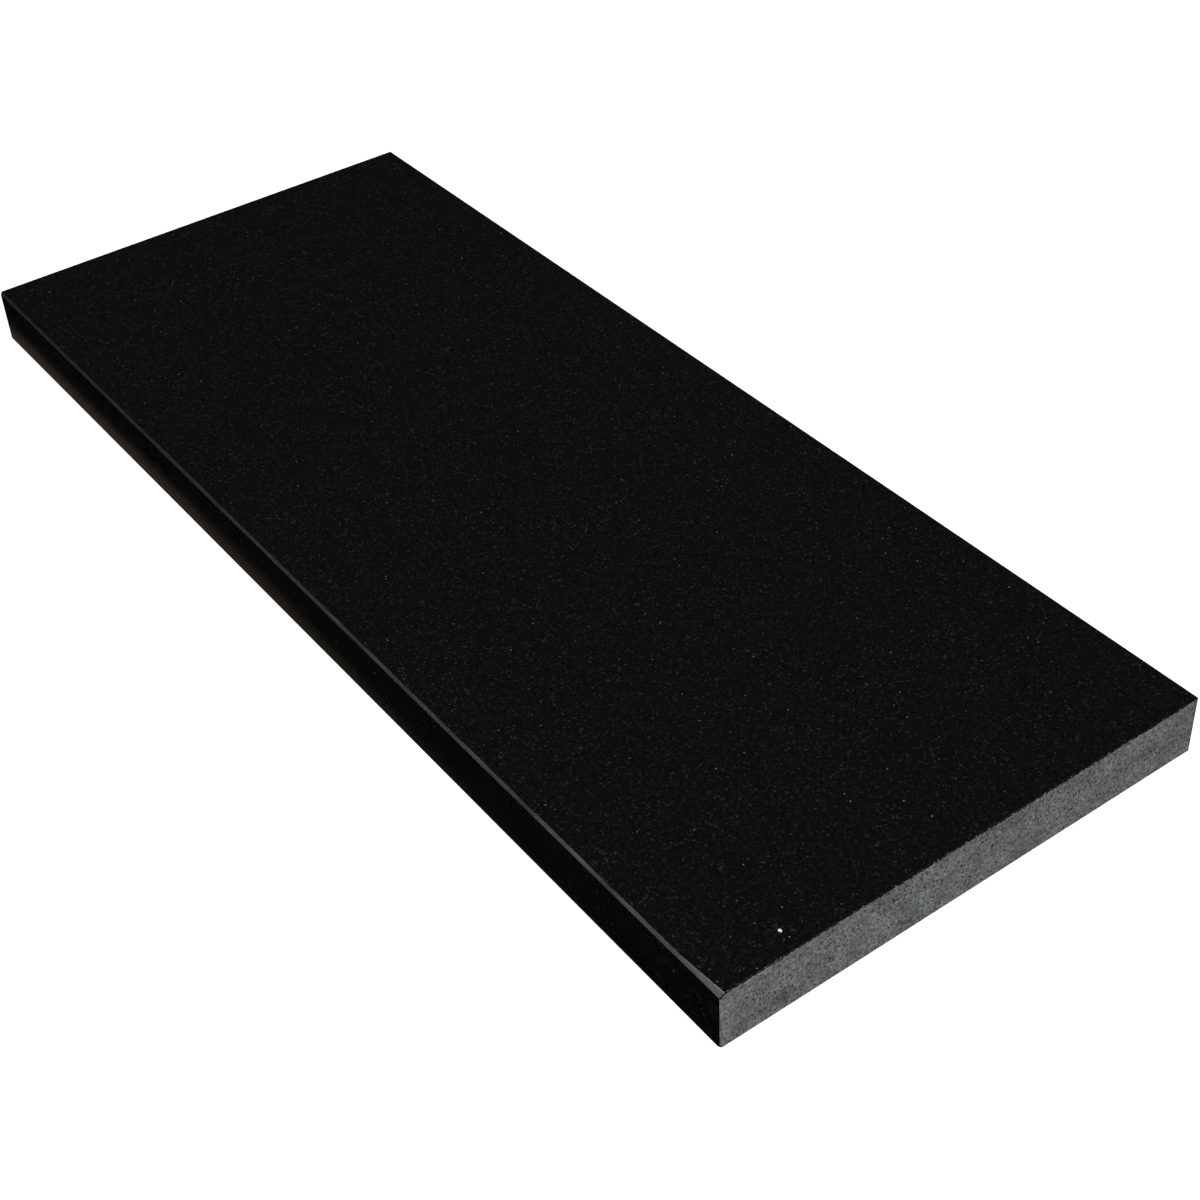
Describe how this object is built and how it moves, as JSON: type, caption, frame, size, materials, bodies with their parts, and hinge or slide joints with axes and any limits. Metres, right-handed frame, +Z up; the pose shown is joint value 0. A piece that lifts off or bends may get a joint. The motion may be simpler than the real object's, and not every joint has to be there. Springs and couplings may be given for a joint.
{
  "type": "granite slab",
  "caption": "Long flat rectangular slab of polished black granite with a ground front arris and grey sawn ends and back, a hard backing for stamping, punching and skiving leather.",
  "frame": {"origin": "centre of the underside, on the surface that the slab rests on", "axes": "+X along the length to the sawn end with the dressed front corner, +Y across the width to the back long edge, +Z up out of the polished working face"},
  "size_m": [0.381, 0.1524, 0.018],
  "materials": {
    "polished_black_granite": "machine-polished absolute-black granite on the top face and the front long edge, grey and matt where it is sawn on the ends, the back edge and the underside"
  },
  "bodies": {
    "root": {"granite_slab": "polished_black_granite"}
  },
  "joints": []
}
